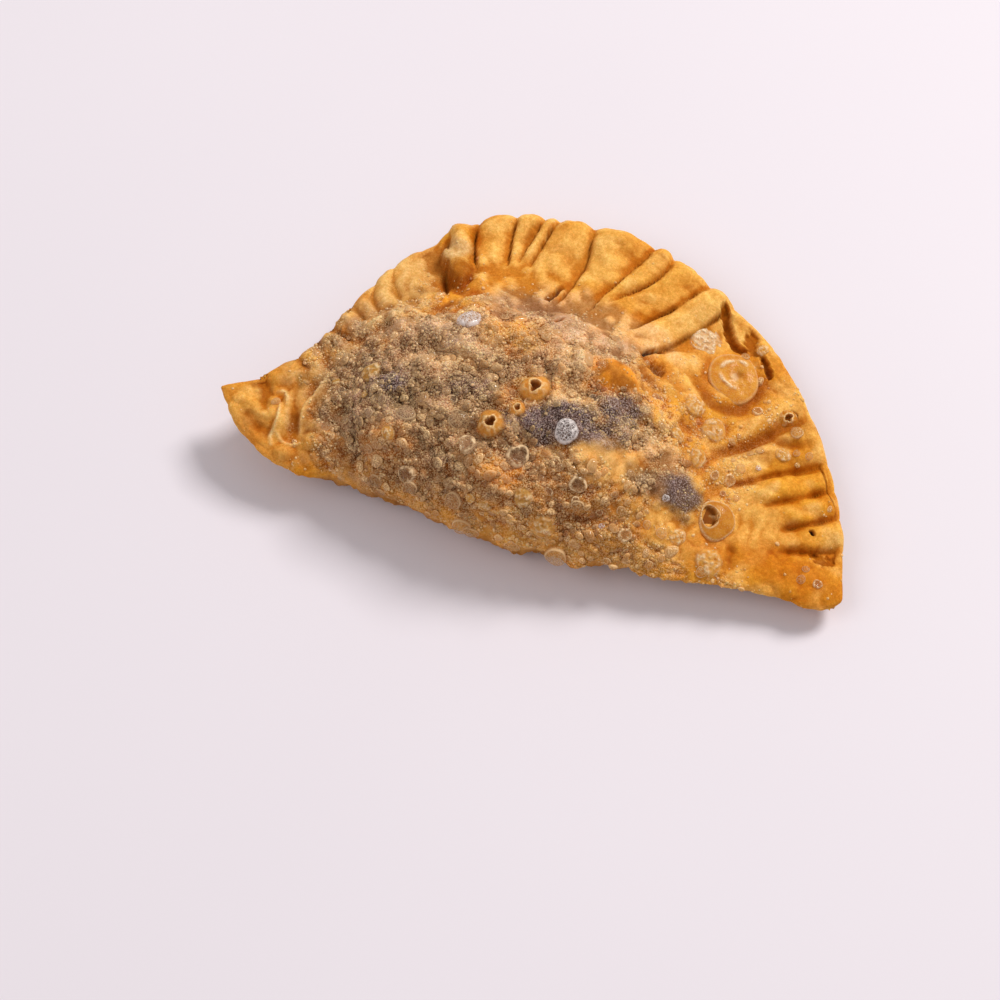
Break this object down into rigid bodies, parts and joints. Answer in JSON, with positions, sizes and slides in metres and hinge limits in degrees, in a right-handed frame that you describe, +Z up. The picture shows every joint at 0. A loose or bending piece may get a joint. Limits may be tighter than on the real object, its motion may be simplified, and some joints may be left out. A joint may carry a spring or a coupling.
{
  "type": "pastelito",
  "caption": "Fried half-moon turnover: one disc of dough folded over its filling, pleated and fork-crimped along the arc, browned and blistered.",
  "frame": {"origin": "on the table, under the middle of the pastelito's bounding box", "axes": "+X from the upturned left corner to the fork-crimped right corner along the fold, +Y from the fold to the crimped arc, +Z up through the filled belly"},
  "size_m": [0.1534, 0.0883, 0.0309],
  "materials": {
    "fried_dough": "golden fried dough, oily sheen, blistered"
  },
  "bodies": {
    "root": {"pastelito": "fried_dough"}
  },
  "joints": []
}
